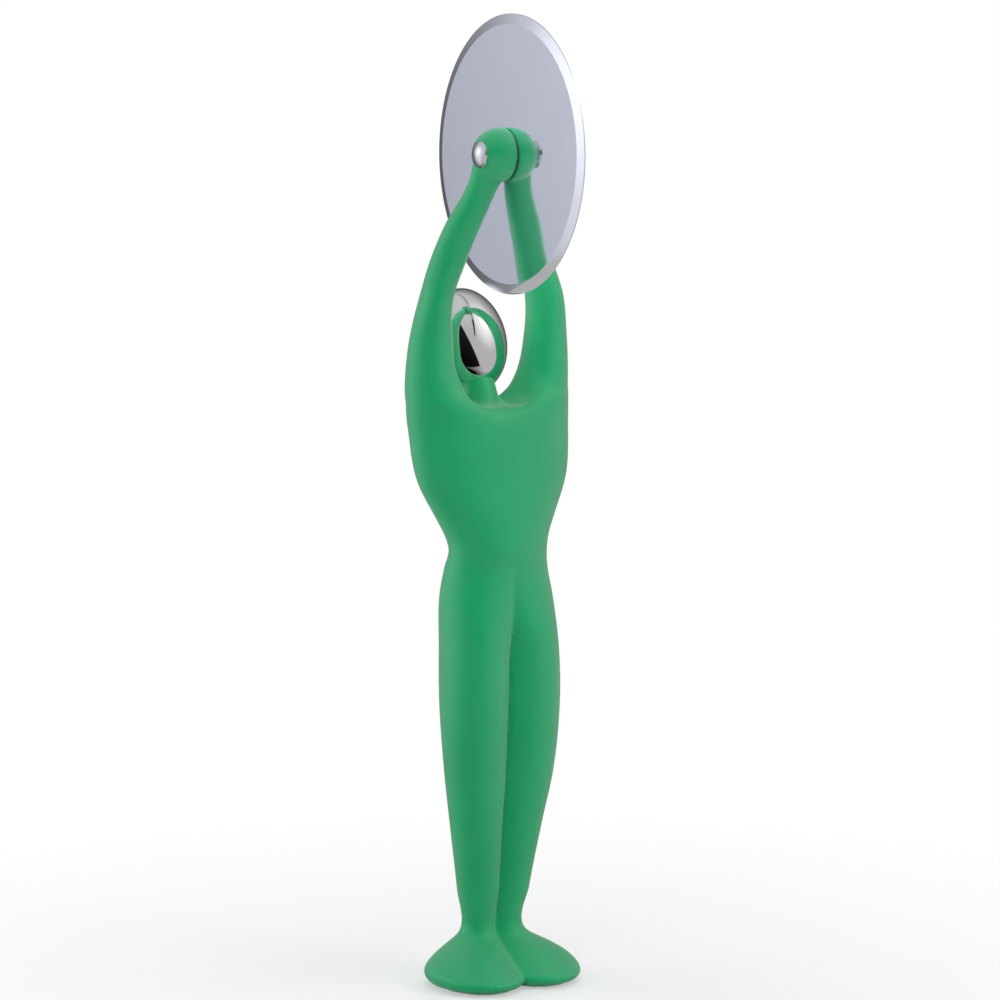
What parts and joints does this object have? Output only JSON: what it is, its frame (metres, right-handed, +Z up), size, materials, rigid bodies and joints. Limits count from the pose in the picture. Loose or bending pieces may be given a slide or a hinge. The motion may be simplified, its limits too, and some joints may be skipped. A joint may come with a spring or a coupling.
{
  "type": "pizza cutter",
  "caption": "Pizza cutter shaped as a slim standing figure: raised arms hold a steel cutting wheel between the hands, a chrome egg is the head, and broad feet let it stand on its own.",
  "frame": {"origin": "on the ground, straight below the middle of the wheel's axle", "axes": "+Z up along the figure, +X along the wheel's axle to the right as seen from the front, -Y the way the figure faces"},
  "size_m": [0.0464, 0.07, 0.247],
  "materials": {
    "body_plastic": "soft-touch matt green",
    "head_chrome": "mirror chrome",
    "cap_chrome": "mirror chrome",
    "blade_steel": "polished stainless steel with a ground bevel",
    "inner_steel": "plain turned steel",
    "brass": "plain brass",
    "nylon": "natural nylon"
  },
  "bodies": {
    "handle": {"left_shell": "body_plastic", "right_shell": "body_plastic", "head": "head_chrome", "head_stud": "inner_steel", "neck_nut": "brass", "axle_post": "cap_chrome", "axle_screw": "cap_chrome", "axle_sleeve": "inner_steel", "left_washer": "nylon", "right_washer": "nylon"},
    "wheel": {"blade": "blade_steel"}
  },
  "joints": [
    {"name": "wheel_spin", "type": "hinge", "parent": "handle", "child": "wheel", "pos_m": [0, 0, 0.212], "axis": [1, 0, 0], "continuous": true}
  ]
}
